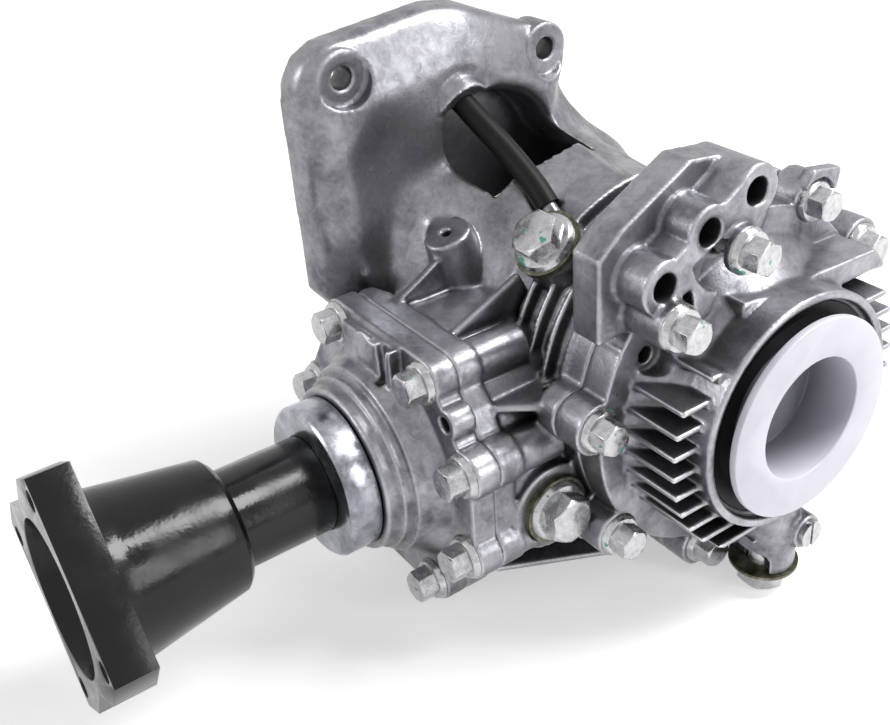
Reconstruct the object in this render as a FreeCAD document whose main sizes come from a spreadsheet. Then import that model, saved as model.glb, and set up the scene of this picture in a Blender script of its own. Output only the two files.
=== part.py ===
# Power transfer case of a transverse drive line: cast housings, hypoid gear pair, input and output shafts
# x runs along the input axis towards the open side, -y towards the companion flange, z up
import FreeCAD, Part
import Sketcher
import math
import os

from FreeCAD import Placement, Rotation, Vector

doc = FreeCAD.newDocument("transfer_case")
sheet = doc.addObject("Spreadsheet::Sheet", "Sizes")
sheetRow = [1]


# A size keeps its number and the sheet formula it stands for
class Size:
    def __init__(self, value, text):
        self.value = value
        self.text = text

    def __add__(self, other):
        other = asSize(other)
        return Size(self.value + other.value, "(" + self.text + " + " + other.text + ")")

    def __radd__(self, other):
        return asSize(other) + self

    def __sub__(self, other):
        other = asSize(other)
        return Size(self.value - other.value, "(" + self.text + " - " + other.text + ")")

    def __rsub__(self, other):
        return asSize(other) - self

    def __mul__(self, other):
        other = asSize(other)
        return Size(self.value * other.value, "(" + self.text + " * " + other.text + ")")

    def __rmul__(self, other):
        return asSize(other) * self

    def __truediv__(self, other):
        other = asSize(other)
        return Size(self.value / other.value, "(" + self.text + " / " + other.text + ")")

    def __neg__(self):
        return Size(-self.value, "(0 - " + self.text + ")")


def asSize(value):
    if isinstance(value, Size):
        return value
    return Size(float(value), repr(float(value)))


def number(value):
    return asSize(value).value


def size(name, value, note):
    cell = str(sheetRow[0])
    sheet.set("A" + cell, note)
    sheet.set("B" + cell, str(value))
    sheet.setAlias("B" + cell, name)
    sheetRow[0] += 1
    return Size(float(value), "Sizes." + name)


# Pinion axis, drop below the input axis and stations counted from the input axis towards the flange
pinionDrop = size("pinionDrop", 29.2, "drop of the pinion axis below the input axis")
flangeFace = size("flangeFace", 343.6, "companion flange front face")
flangeThick = size("flangeThick", 21, "companion flange plate")
flangeHalfLong = size("flangeHalfLong", 56, "flange half length across the lobes")
flangeHalfWide = size("flangeHalfWide", 49, "flange half width across the flats")
flangeBore = size("flangeBore", 41, "flange register bore radius")
flangeHoleCircle = size("flangeHoleCircle", 58, "flange hole circle radius")
flangeHole = size("flangeHole", 5.5, "flange hole radius")
notchReach = size("notchReach", 48, "centre to notch tip")
coneStart = size("coneStart", 257.3, "small end of the flange cone")
coneSmall = size("coneSmall", 35.5, "cone radius at its small end")
coneLarge = size("coneLarge", 45, "cone radius at the plate")
hubRadius = size("hubRadius", 26.5, "flange hub radius outside the dust cover")
hubSealRadius = size("hubSealRadius", 24, "flange hub radius under the seal")
dustFront = size("dustFront", 206.5, "dust cover front face")
dustRear = size("dustRear", 192.3, "dust cover rear rim")
dustRadius = size("dustRadius", 42, "dust cover radius")
sheetWall = size("sheetWall", 2, "pressed sheet thickness")
coverJoint = size("coverJoint", 144, "pinion cover joint plane")
coverFlange = size("coverFlange", 14, "pinion cover flange thickness")
neckFace = size("neckFace", 188, "pinion cover neck front face")
neckRadius = size("neckRadius", 46, "pinion cover neck radius")
spigotRadius = size("spigotRadius", 60, "pinion cover spigot radius")
spigotEnd = size("spigotEnd", 98, "pinion cover spigot inner end")
headCupFront = size("headCupFront", 124, "head bearing cup outer end")
headCupRadius = size("headCupRadius", 42, "head bearing cup radius")
headBearingWide = size("headBearingWide", 24, "head bearing width")
headShaft = size("headShaft", 22.5, "pinion shaft radius in the head bearing")
tailCupFront = size("tailCupFront", 172, "tail bearing cup outer end")
tailCupRadius = size("tailCupRadius", 36, "tail bearing cup radius")
tailBearingWide = size("tailBearingWide", 20, "tail bearing width")
tailShaft = size("tailShaft", 17.5, "pinion shaft radius in the tail bearing")
pinionSealRadius = size("pinionSealRadius", 40, "pinion seal outer radius")
pinionSealWide = size("pinionSealWide", 12, "pinion seal width")
hubWeb = size("hubWeb", 266, "hub end wall that the nut sits on")
nutFlats = size("nutFlats", 36, "pinion nut across flats")
nutHigh = size("nutHigh", 15, "pinion nut height")
threadRadius = size("threadRadius", 12, "pinion thread radius")

# Input axis, stations along x
gearboxFace = size("gearboxFace", 88, "gearbox joint plane, on the minus x side")
caseJoint = size("caseJoint", 86, "side cover joint plane")
coverPlate = size("coverPlate", 17.5, "side cover flange thickness")
rimFace = size("rimFace", 146.2, "side cover rim face")
rimRadius = size("rimRadius", 66.2, "side cover rim outer radius")
rimBore = size("rimBore", 61.5, "side cover rim recess radius")
sealFace = size("sealFace", 141, "cover seal outer face")
coverSealRadius = size("coverSealRadius", 59, "cover seal outer radius")
coverSealWide = size("coverSealWide", 12, "cover seal width")
shaftRadius = size("shaftRadius", 36, "hollow input shaft radius")
shaftBore = size("shaftBore", 27, "hollow input shaft spline radius")
sideCupRadius = size("sideCupRadius", 53, "side bearing cup radius")
sideBearingWide = size("sideBearingWide", 21, "side bearing width")
rightCupEnd = size("rightCupEnd", 116, "right bearing cup outer end")
leftCupEnd = size("leftCupEnd", 62, "left bearing cup outer end, on the minus x side")
plugFace = size("plugFace", 153.7, "transport plug front face")
plugFlangeRadius = size("plugFlangeRadius", 55.8, "transport plug flange radius")
plugHole = size("plugHole", 34.2, "transport plug opening radius")
plugWall = size("plugWall", 2.6, "transport plug tube wall")
plugFlangeThick = size("plugFlangeThick", 4, "transport plug flange thickness")

# Castings
castWall = size("castWall", 5, "casting wall")
chamberRadius = size("chamberRadius", 90, "gear chamber outer radius")
finRadius = size("finRadius", 98, "gear chamber fin radius")
finThick = size("finThick", 3.2, "cooling fin thickness")
boltCircle = size("boltCircle", 102, "side cover bolt circle radius")
lobeRadius = size("lobeRadius", 14.5, "bolt lobe radius")
pinionBoltSeat = size("pinionBoltSeat", 13, "pinion cover lobe radius")
boltShank = size("boltShank", 6, "flange bolt shank radius")
boltFlats = size("boltFlats", 16, "flange bolt across flats")
boltFlangeRadius = size("boltFlangeRadius", 12.3, "flange bolt washer face radius")
boltHead = size("boltHead", 13.2, "flange bolt head height")
boltGap = size("boltGap", 0.5, "clearance of a bolt in its hole")
bracketHole = size("bracketHole", 7.25, "bracket boss hole radius")
bracketBoss = size("bracketBoss", 14, "bracket boss radius")
bracketFace = size("bracketFace", 125, "bracket boss front face")
seatGap = size("seatGap", 0.05, "fit clearance on a radius")
dowelRadius = size("dowelRadius", 4, "dowel pin radius")
dowelLong = size("dowelLong", 12, "dowel pin length")
dowelGap = size("dowelGap", 0.02, "clearance of a dowel in its holes")
bellHole = size("bellHole", 6.5, "bell hole radius")
holeOver = size("holeOver", 1, "run of a cutting tool past the face it opens")

doc.recompute()


# Helpers that draw one object and bind its sizes to the sheet
def bind(item, name, value):
    value = asSize(value)
    if "Sizes" in value.text:
        item.setExpression(name, value.text)
    else:
        setattr(item, name, value.value)


def place(item, x=0, y=0, z=0, rotation=None):
    item.Placement = Placement(Vector(number(x), number(y), number(z)), rotation or Rotation())
    for name, value in (("x", x), ("y", y), ("z", z)):
        value = asSize(value)
        if "Sizes" in value.text:
            item.setExpression("Placement.Base." + name, value.text)
    return item


alongX = Rotation(Vector(0, 0, 1), Vector(1, 0, 0))
alongMinusX = Rotation(Vector(0, 0, 1), Vector(-1, 0, 0))
alongMinusY = Rotation(Vector(0, 0, 1), Vector(0, -1, 0))
alongPlusY = Rotation(Vector(0, 0, 1), Vector(0, 1, 0))
pinionTurn = Rotation(Vector(0, 0, 1), -90)


def cylinder(name, radius, high, x=0, y=0, z=0, rotation=None):
    item = doc.addObject("Part::Cylinder", name)
    bind(item, "Radius", radius)
    bind(item, "Height", high)
    return place(item, x, y, z, rotation)


def cone(name, radius1, radius2, high, x=0, y=0, z=0, rotation=None):
    item = doc.addObject("Part::Cone", name)
    bind(item, "Radius1", radius1)
    bind(item, "Radius2", radius2)
    bind(item, "Height", high)
    return place(item, x, y, z, rotation)


def box(name, long, wide, high, x=0, y=0, z=0, rotation=None):
    item = doc.addObject("Part::Box", name)
    bind(item, "Length", long)
    bind(item, "Width", wide)
    bind(item, "Height", high)
    return place(item, x, y, z, rotation)


def fuse(name, items):
    item = doc.addObject("Part::MultiFuse", name)
    item.Shapes = items
    item.Refine = True
    return item


def cut(name, base, tool):
    item = doc.addObject("Part::Cut", name)
    item.Base = base
    item.Tool = tool
    item.Refine = True
    return item


def common(name, first, second):
    item = doc.addObject("Part::MultiCommon", name)
    item.Shapes = [first, second]
    return item


# A big casting grows one item at a time, which keeps every joint face clean
def grown(name, base, items):
    for index, item in enumerate(items):
        step = doc.addObject("Part::Fuse", name + "_" + str(index + 1))
        step.Base = base
        step.Tool = item
        step.Refine = False
        base = step
    return base


# A closed outline whose corners are each held at two sheet distances from the sketch origin
def outline(sketch, corners):
    points = [Vector(number(a), number(b), 0) for a, b in corners]
    count = len(points)
    for index in range(count):
        sketch.addGeometry(Part.LineSegment(points[index], points[(index + 1) % count]), False)
    for index in range(count):
        sketch.addConstraint(Sketcher.Constraint("Coincident", index, 2, (index + 1) % count, 1))
    for index, corner in enumerate(corners):
        for kind, value in (("DistanceX", corner[0]), ("DistanceY", corner[1])):
            value = asSize(value)
            if abs(value.value) < 1e-9:
                axis = -2 if kind == "DistanceX" else -1
                sketch.addConstraint(Sketcher.Constraint("PointOnObject", index, 1, axis))
                continue
            if value.value > 0:
                held = sketch.addConstraint(Sketcher.Constraint(kind, -1, 1, index, 1, value.value))
            else:
                held = sketch.addConstraint(Sketcher.Constraint(kind, index, 1, -1, 1, -value.value))
                value = -value
            if "Sizes" in value.text:
                sketch.setExpression("Constraints[" + str(held) + "]", value.text)
    return sketch


def originPlane(body, role):
    for feature in body.Origin.OriginFeatures:
        if feature.Role == role:
            return feature


# A turned piece: corners are (station along the axis, radius), spun about the sketch's level axis
def turned(label, corners, pinionAxis=False):
    body = doc.addObject("PartDesign::Body", label)
    sketch = body.newObject("Sketcher::SketchObject", label + "_profile")
    sketch.AttachmentSupport = [(originPlane(body, "XY_Plane"), "")]
    sketch.MapMode = "FlatFace"
    outline(sketch, corners)
    spin = body.newObject("PartDesign::Revolution", label + "_turn")
    spin.Profile = sketch
    spin.ReferenceAxis = (sketch, ["H_Axis"])
    spin.Angle = 360
    sketch.Visibility = False
    body.Tip = spin
    if pinionAxis:
        place(body, 0, 0, -pinionDrop, pinionTurn)
    return body


# A flat plate drawn by its corners and pushed along one axis; the sketch plane is turned by the rotation
def plate(name, corners, thick, x=0, y=0, z=0, rotation=None):
    sketch = doc.addObject("Sketcher::SketchObject", name + "_outline")
    outline(sketch, corners)
    place(sketch, x, y, z, rotation)
    item = doc.addObject("Part::Extrusion", name)
    item.Base = sketch
    item.DirMode = "Normal"
    item.Solid = True
    bind(item, "LengthFwd", thick)
    return item


# Sketch planes: level coordinate first, upright coordinate second
faceX = Rotation(Vector(0, 1, 0), Vector(0, 0, 1), Vector(1, 0, 0), "XYZ")
faceMinusY = Rotation(Vector(1, 0, 0), Vector(0, 0, 1), Vector(0, -1, 0), "XYZ")


nodes = []


def node(item, name):
    item.Label = name
    nodes.append((name, item))
    return item


# Companion flange: notched plate, hollow cone, hub with a nut seat
lobeIn = size("lobeIn", 26, "half gap between the lobe corners at the flange end")
lobeOut = size("lobeOut", 50, "start of the lobe corner along the flange")
flangeCorners = [
    (notchReach, 0), (flangeHalfLong, lobeIn), (lobeOut, flangeHalfWide),
    (-lobeOut, flangeHalfWide), (-flangeHalfLong, lobeIn), (-notchReach, 0),
    (-flangeHalfLong, -lobeIn), (-lobeOut, -flangeHalfWide),
    (lobeOut, -flangeHalfWide), (flangeHalfLong, -lobeIn),
]
flangeTurn = Rotation(Vector(-0.7071, 0, 0.7071), Vector(-0.7071, 0, -0.7071), Vector(0, -1, 0), "XYZ")
flangePlate = plate("flange_plate", flangeCorners, flangeThick, 0, flangeThick - flangeFace, -pinionDrop,
                    flangeTurn)
flangeBody = turned("flange_turned", [
    (hubWeb, threadRadius + 2), (tailCupFront, threadRadius + 2), (tailCupFront, hubSealRadius),
    (dustRear - 2, hubSealRadius), (dustRear - 2, hubRadius), (coneStart, hubRadius),
    (coneStart, coneSmall - 3), (coneStart + 3, coneSmall), (flangeFace - flangeThick, coneLarge),
    (flangeFace - flangeThick + 8, coneLarge), (flangeFace, flangeBore + 0.5), (flangeFace, flangeBore),
    (flangeFace - 12, flangeBore), (flangeFace - 18, flangeBore - 3), (hubWeb, coneSmall - 8),
], True)
flangeSolid = fuse("flange_solid", [flangePlate, flangeBody])
flangeTools = [turned("flange_socket_tool", [
    (hubWeb, 0), (hubWeb, coneSmall - 8), (flangeFace - 18, flangeBore - 3), (flangeFace - 12, flangeBore),
    (flangeFace + 1, flangeBore), (flangeFace + 1, 0),
], True)]
flangeTools.append(cylinder("flange_thread_tool", threadRadius + 2, 110, 0, -hubWeb - 1, -pinionDrop,
                            alongPlusY))
for index, (a, b) in enumerate(((0, 1), (-1, 0), (0, -1), (1, 0))):
    flangeTools.append(cylinder("flange_hole_" + str(index + 1), flangeHole, flangeThick + 20,
                                flangeHoleCircle * a, -flangeFace - 1, flangeHoleCircle * b - pinionDrop, alongPlusY))
node(cut("companion_flange_cut", flangeSolid, fuse("flange_tools", flangeTools)), "companion_flange")

# Dust cover: pressed cup on the hub, open towards the neck
node(turned("dust_cover_body", [
    (dustFront, hubRadius + seatGap), (dustFront, dustRadius - 2), (dustFront - 2, dustRadius),
    (dustRear, dustRadius), (dustRear, dustRadius - sheetWall),
    (dustFront - sheetWall - 1, dustRadius - sheetWall),
    (dustFront - sheetWall, dustRadius - sheetWall - 1), (dustFront - sheetWall, hubRadius + sheetWall),
    (dustRear + 1, hubRadius + sheetWall), (dustRear + 1, hubRadius + seatGap),
], True), "dust_cover")

# Pinion cover: lobed flange, neck and spigot that carries both pinion bearings
pinionBolts = [
    (-39.8, 62.0), (39.8, 61.7), (71.4, 22.7), (70.0, -29.4), (36.7, -67.3), (-74.5, 5.8), (-42, -64),
]
dowelSpots = [(-52, 52), (52, -52)]
plainSpot = (56.9, 45.2)
oRingGap = size("oRingGap", 0.05, "clearance of the seal ring in its groove")
armStart = size("armStart", 48, "start of the pinion cover lobe arms, from the axis")
coverHull = [
    (-39.8, 75), (39.8, 75), (50.5, 59), (60, 48), (66, 35), (77, 24), (77, -30), (66, -42), (46, -60),
    (38, -77), (-42, -76), (-58, -52), (-82, 0), (-82, 12), (-62, 44), (-50, 66),
]
caseFlange = size("caseFlange", 14, "thickness of the case flange under the pinion cover")
grooveLow = spigotEnd + 24
grooveHigh = spigotEnd + 27
bearingBores = [
    (headCupFront, headCupRadius + seatGap), (headCupFront, headCupRadius - 6),
    (tailCupFront - tailBearingWide, tailCupRadius - 6),
    (tailCupFront - tailBearingWide, tailCupRadius + seatGap), (tailCupFront + 2, tailCupRadius + seatGap),
    (neckFace - pinionSealWide, pinionSealRadius + seatGap),
]
neckParts = [plate("pinion_flange_plate", coverHull, coverFlange, 0, -coverJoint, -pinionDrop, faceMinusY)]
neckParts.append(turned("pinion_cover_turned", [
    (neckFace, pinionSealRadius + seatGap), (neckFace, neckRadius), (neckFace - 8, neckRadius),
    (neckFace - 8, neckRadius + 3), (neckFace - 13, neckRadius + 3), (neckFace - 14, neckRadius + 7),
    (neckFace - 21, neckRadius + 9), (coverJoint + coverFlange + 2, spigotRadius),
    (coverJoint + coverFlange - 2, spigotRadius + 4), (coverJoint, spigotRadius + 8),
    (coverJoint, spigotRadius), (grooveHigh + oRingGap, spigotRadius),
    (grooveHigh + oRingGap, spigotRadius - 2 - oRingGap), (grooveLow - oRingGap, spigotRadius - 2 - oRingGap),
    (grooveLow - oRingGap, spigotRadius), (spigotEnd, spigotRadius), (spigotEnd, headCupRadius + seatGap),
] + bearingBores, True))
coverTools = []


# Height of a point that is measured from the pinion axis
def fromPinion(pz):
    return pz - pinionDrop.value


for index, (px, pz) in enumerate(pinionBolts):
    name = "pinion_lobe_" + str(index + 1)
    away = math.hypot(px, pz)
    armX = px / away * armStart + pz / away * pinionBoltSeat
    armZ = pz / away * armStart - px / away * pinionBoltSeat
    armTurn = Rotation(Vector(px / away, 0, pz / away), Vector(-pz / away, 0, px / away),
                       Vector(0, -1, 0), "XYZ")
    neckParts.append(box(name + "_arm", away - armStart, pinionBoltSeat * 2, coverFlange, armX, -coverJoint,
                         armZ - pinionDrop, armTurn))
    neckParts.append(cylinder(name, pinionBoltSeat, coverFlange, px, -coverJoint, fromPinion(pz),
                              alongMinusY))
    coverTools.append(cylinder(name + "_hole", boltShank + boltGap, coverFlange + 20, px, 10 - coverJoint,
                               fromPinion(pz), alongMinusY))
    coverTools.append(cylinder("pinion_spot_" + str(index + 1), boltFlangeRadius + 0.7, 30, px,
                               -coverJoint - coverFlange, fromPinion(pz), alongMinusY))
# A raised block with a round pad and a cored pocket under it, between the two upper bolts
neckParts.append(box("pinion_pad_block", 46, 12, 22, -24, -coverJoint - coverFlange - 8, 22))
neckParts.append(cylinder("pinion_pad", 9.5, 2, -1, -coverJoint - coverFlange - 6.5, 37, alongMinusY))
neckParts.append(cylinder("pinion_plain_boss", 9, coverFlange, plainSpot[0], -coverJoint,
                          fromPinion(plainSpot[1]), alongMinusY))
coverTools.append(plate("pinion_pad_pocket", [(10, 45), (19, 45), (16, 22), (12, 22)], 8, 0,
                        -coverJoint - coverFlange - 3, 0, faceMinusY))
for index, (px, pz) in enumerate(dowelSpots):
    coverTools.append(cylinder("pinion_dowel_hole_" + str(index + 1), dowelRadius + dowelGap, dowelLong + 2,
                               px, -coverJoint - 6.5, fromPinion(pz), alongPlusY))
coverTools.append(cylinder("pinion_plain_hole", 4.2, 60, plainSpot[0], 20 - coverJoint,
                           fromPinion(plainSpot[1]), alongMinusY))
coverTools.append(turned("pinion_cover_clear", [
    (spigotEnd - holeOver, 0), (spigotEnd - holeOver, headCupRadius + seatGap),
] + bearingBores + [
    (neckFace + holeOver, pinionSealRadius + seatGap), (neckFace + holeOver, 0),
], True))
node(cut("pinion_cover_cut", fuse("pinion_cover_solid", neckParts), fuse("pinion_cover_tools", coverTools)),
     "pinion_cover")

# Side cover: flange with lobes, dome, rim, cooling fins and bracket bosses
sideBolts = [
    (-98, 11), (-84, -61.5), (-20, -102), (-74, 71.6), (-30.5, 96.7), (49, 89), (94, 49), (98, -30), (52, -88),
]
longBolts = (3, 4)
earSpot = (-68, 42)
longLobe = size("longLobe", 12.2, "radius of the two tall bolt bosses")
longSeat = size("longSeat", 27.5, "height of the two tall bolt bosses above the flange")
coverTop = caseJoint + coverPlate
coverBores = [
    (sealFace, rimBore), (sealFace, coverSealRadius + seatGap),
    (sealFace - coverSealWide, coverSealRadius + seatGap),
    (sealFace - coverSealWide, sideCupRadius - 6), (rightCupEnd, sideCupRadius - 6),
    (rightCupEnd, sideCupRadius + seatGap), (rightCupEnd - sideBearingWide, sideCupRadius + seatGap),
    (rightCupEnd - sideBearingWide, sideCupRadius + 7), (rightCupEnd - 12, sideCupRadius + 9),
    (caseJoint + castWall, chamberRadius - castWall - 2),
]
sideParts = [turned("side_cover_dome", [
    (caseJoint, chamberRadius), (caseJoint, boltCircle - 5), (coverTop, boltCircle - 5),
    (coverTop, chamberRadius - 8), (coverTop + 14, rimRadius + 4), (coverTop + 22, rimRadius),
    (rimFace, rimRadius), (rimFace, rimBore),
] + coverBores + [(caseJoint, chamberRadius - castWall)])]
sideFinRadius = size("sideFinRadius", 82.5, "side cover fin outer radius")
sideFinEnd = size("sideFinEnd", 139.5, "side cover fin outer face")
sideFinPitch = size("sideFinPitch", 12.2, "side cover fin pitch")
sideFinTop = size("sideFinTop", 39, "height of the uppermost side cover fin")
sideFinCount = 11
finShell = turned("side_fin_shell", [
    (coverTop - 2, rimRadius - 3), (coverTop - 2, sideFinRadius), (sideFinEnd, sideFinRadius),
    (sideFinEnd, rimRadius - 3),
])
finPlates = []
for index in range(sideFinCount):
    finPlates.append(box("side_fin_" + str(index + 1), 60, 240, finThick, coverTop - 6, -120,
                         sideFinTop - sideFinPitch * index))
sideParts.append(common("side_fins", finShell, fuse("side_fin_plates", finPlates)))
for index, (py, pz) in enumerate(sideBolts):
    name = "side_lobe_" + str(index + 1)
    reach = longSeat if index in longBolts else 0
    across = longLobe if reach else (13.5 if index == 1 else lobeRadius)
    sideParts.append(cylinder(name, across, coverPlate + reach, caseJoint, py, pz, alongX))
bracketHoles = [(-77, 91), (-49.3, 109.7), (-19, 121.3)]
for index, (py, pz) in enumerate(bracketHoles):
    sideParts.append(cylinder("bracket_boss_" + str(index + 1), bracketBoss, bracketFace - caseJoint,
                              caseJoint, py, pz, alongX))
sideParts.append(plate("bracket_block", [
    (-100, 60), (-100, 104), (-86, 116), (-44, 138), (-14, 134), (4, 118), (14, 96), (10, 86), (-60, 62),
], bracketFace - caseJoint - 20, caseJoint, 0, 0, faceX))
sideParts.append(plate("bracket_web", [
    (-86, 80), (-84, 100), (-72, 104), (-24, 133), (-8, 126), (-10, 112), (-36, 92), (-46, 66), (-56, 62), (-60, 84),
], bracketFace - caseJoint, caseJoint, 0, 0, faceX))
sideParts.append(plate("side_ear", [(-84, 30), (-84, 50), (-66, 62), (-50, 60), (-58, 24)], coverPlate,
                       caseJoint, 0, 0, faceX))
sideParts.append(plate("side_shelf", [(-30, 56), (-28, 66), (72, 62), (84, 48), (70, 50), (-14, 50)], 30,
                       coverTop - 4, 0, 0, faceX))
sideParts.append(plate("side_tab", [(36, 92), (44, 108), (66, 104), (64, 92)], 8, coverTop - 4, 0, 0, faceX))
drainX = 131
drainFace = size("drainFace", 104, "drain boss face, below the input axis")
plugThread = size("plugThread", 9, "oil plug thread radius")
earHole = size("earHole", 4.5, "cover ear hole radius")
earDeep = size("earDeep", 9, "cover ear hole depth")
screwFace = size("screwFace", 151, "slotted plug boss face along x")
screwY = 10
screwZ = -80
sideParts.append(cylinder("drain_boss", 17, 50, drainX, 0, -drainFace))
sideParts.append(cylinder("screw_boss", 10, 22, screwFace - 22, screwY, screwZ, alongX))
sideTools = [
    cylinder("drain_thread", plugThread, 18, drainX, 0, -drainFace - holeOver),
    cylinder("screw_thread", 6.1, 12, screwFace - 10, screwY, screwZ, alongX),
    cylinder("ear_hole", earHole, earDeep, coverTop - earDeep, earSpot[0], earSpot[1], alongX),
    cylinder("ear_spot", 9, 50, coverTop, earSpot[0], earSpot[1], alongX),
    plate("bracket_pocket", [
        (-57, 88), (-60, 96), (-50, 100), (-31, 109), (-22, 101.5), (-27, 84), (-34, 74), (-50, 80),
    ], 14, bracketFace - 13, 0, 0, faceX),
    turned("side_cover_clear", [
        (caseJoint - holeOver, 0), (caseJoint - holeOver, chamberRadius - castWall),
    ] + coverBores[::-1] + [(rimFace + holeOver, rimBore), (rimFace + holeOver, 0)]),
]
for index, (py, pz) in enumerate(sideBolts):
    spotFace = coverTop + longSeat if index in longBolts else coverTop
    sideTools.append(cylinder("side_hole_" + str(index + 1), boltShank + boltGap, 80, caseJoint - 10, py, pz,
                              alongX))
    sideTools.append(cylinder("side_spot_" + str(index + 1), boltFlangeRadius + 0.7, 40, spotFace, py, pz,
                              alongX))
for index, (py, pz) in enumerate(bracketHoles):
    sideTools.append(cylinder("bracket_hole_" + str(index + 1), bracketHole, 80, caseJoint - 10, py, pz,
                              alongX))
node(cut("side_cover_cut", fuse("side_cover_solid", sideParts), fuse("side_cover_tools", sideTools)),
     "side_cover")

# Breather hose route, from inside the bell boss down to the nipple
hoseRadius = size("hoseRadius", 6.8, "breather hose radius")
nippleRadius = size("nippleRadius", 4.5, "breather nipple radius")
hosePoints = [
    Vector(-66, -55.5, 132), Vector(-48, -52.5, 119.5), Vector(-26, -47.5, 104), Vector(-7, -45.5, 90.5),
    Vector(4, -45.5, 81.5),
]
hoseStart = hosePoints[0]
hoseEnd = hosePoints[-1]
hoseFirst = (hosePoints[1] - hosePoints[0]).normalize()
hoseLast = (hosePoints[-1] - hosePoints[-2]).normalize()
hoseTurn = Rotation(Vector(0, 0, 1), hoseFirst)
nippleTurn = Rotation(Vector(0, 0, 1), hoseLast)

plugFlange = size("plugFlange", 17.5, "oil plug flange radius")

# Main case: gear chamber, pinion tunnel, tall bell towards the gearbox
bellRim = size("bellRim", 16, "bell mounting rim thickness")
bellDeep = size("bellDeep", 16, "bell slope depth")
neckEnd = size("neckEnd", 12, "end of the bell neck on the chamber, along x")
sealSeat = size("sealSeat", 50, "gearbox seal seat radius")
caseParts = [turned("case_chamber", [
    (-gearboxFace, 66), (-gearboxFace, 82), (-gearboxFace + 20, 84), (-30, chamberRadius - 4),
    (0, chamberRadius), (caseJoint - 12, chamberRadius), (caseJoint - 12, boltCircle - 5),
    (caseJoint, boltCircle - 5), (caseJoint, chamberRadius - castWall), (10, chamberRadius - castWall),
    (-20, chamberRadius - castWall - 10), (-leftCupEnd + sideBearingWide + 4, sideCupRadius + 8),
    (-leftCupEnd + sideBearingWide, sideCupRadius + seatGap), (-leftCupEnd, sideCupRadius + seatGap),
    (-leftCupEnd, sideCupRadius - 6), (-leftCupEnd - 6, sideCupRadius - 6), (-leftCupEnd - 6, sealSeat),
    (-gearboxFace, sealSeat),
])]
bellLow = [
    (-150, 32), (-153, 144), (-151, 157), (-144, 168), (-132, 174.5), (-62, 181), (-42, 178), (-22, 169),
    (22, 150), (31, 140), (30, 122), (62, 86), (100, 36), (96, -30), (60, -74), (-40, -82), (-110, -20),
]
bellHigh = [
    (-132, 44), (-124, 118), (-122, 127), (-116, 135), (-106, 141), (-56, 152), (-38, 149), (-22, 142),
    (10, 121), (17, 115), (18, 104), (50, 76), (84, 30), (80, -24), (50, -62), (-36, -68), (-94, -12),
]
neckLow = [
    (-118, 36), (-100, 84), (-50, 104), (0, 108), (46, 88), (76, 40), (70, -30), (30, -70), (-40, -76),
    (-96, -24),
]
neckHigh = [
    (-88, 20), (-72, 50), (-44, 76), (0, 89), (44, 76), (76, 44), (88, -20), (44, -76), (-44, -76),
    (-86, -24),
]


# Straight-sided loft between two outlines that face along x
def lofted(name, low, lowAt, high, highAt):
    sections = []
    for end, corners, station in (("_low", low, lowAt), ("_high", high, highAt)):
        sketch = doc.addObject("Sketcher::SketchObject", name + end + "_outline")
        outline(sketch, corners)
        place(sketch, station, 0, 0, faceX)
        sections.append(sketch)
    item = doc.addObject("Part::Loft", name)
    item.Sections = sections
    item.Solid = True
    item.Ruled = True
    return item


caseParts.append(plate("bell_plate", bellLow, bellRim, -gearboxFace, 0, 0, faceX))
caseParts.append(lofted("bell_slope", bellLow, -gearboxFace + bellRim, bellHigh,
                        -gearboxFace + bellRim + bellDeep))
caseParts.append(lofted("bell_neck", neckLow, -gearboxFace + bellRim + bellDeep - 4, neckHigh, neckEnd))
bellPad = size("bellPad", 15.5, "pad radius round a bell hole")
bellHoles = [(-125, 156), (13, 141)]
for index, (py, pz) in enumerate(bellHoles):
    caseParts.append(cylinder("bell_pad_" + str(index + 1), bellPad, bellRim + 5, -gearboxFace, py, pz,
                              alongX))


# Spot on the hose line, a way before its start or past its end
def beforeHose(back):
    return hoseStart - hoseFirst * back


def pastHose(on):
    return hoseEnd + hoseLast * on


caseParts.append(cylinder("hose_boss", 15.5, 27, *beforeHose(16), hoseTurn))
postLean = (0.3, 0.95)
postTop = (-94, 71)
postLong = 46
postTurn = Rotation(Vector(0, 0, 1), Vector(0, -postLean[0], postLean[1]))


# Height and distance of a spot inside the post, measured down from its top
def underPostTop(down):
    return postTop[0] + postLean[0] * down, postTop[1] - postLean[1] * down


caseParts.append(cone("post", 18, 13.5, postLong, -22, *underPostTop(postLong), postTurn))
caseParts.append(plate("post_web", [(-140, 44), (-100, 64), (-88, 40), (-100, 20), (-140, 20)], 5,
                       -20, 0, 0, faceX))
caseParts.append(plate("diagonal_rib", [(-141, 38), (-84, 62), (-78, 50), (-100, 20), (-141, 24)], 5,
                       22, 0, 0, faceX))
caseParts.append(plate("ledge", [(20, -132), (56, -140), (86, -97), (86, -60), (20, -60)], 4, 0, 0, 13))
caseParts.append(plate("bottom_web", [(20, -118), (56, -130), (86, -70), (86, -30), (20, -30)], 4, 0, 0, -96))
caseParts.append(plate("case_flange_plate", coverHull, caseFlange, 0, caseFlange - coverJoint, -pinionDrop,
                       faceMinusY))
caseParts.append(cone("case_tunnel", spigotRadius + 13.5, spigotRadius + 11, coverJoint - 20,
                      0, -coverJoint, -pinionDrop, alongPlusY))
lobeLengths = (caseFlange, 46, 42, 24, 20, 22, caseFlange)
for index, (px, pz) in enumerate(pinionBolts):
    name = "case_pinion_lobe_" + str(index + 1)
    short = lobeLengths[index] is caseFlange
    caseParts.append(cylinder(name, pinionBoltSeat - (0 if short else 1), lobeLengths[index], px,
                              -coverJoint, fromPinion(pz), alongPlusY))
    if not short:
        caseParts.append(cylinder(name + "_rim", pinionBoltSeat, caseFlange, px, -coverJoint,
                                  fromPinion(pz), alongPlusY))
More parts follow.
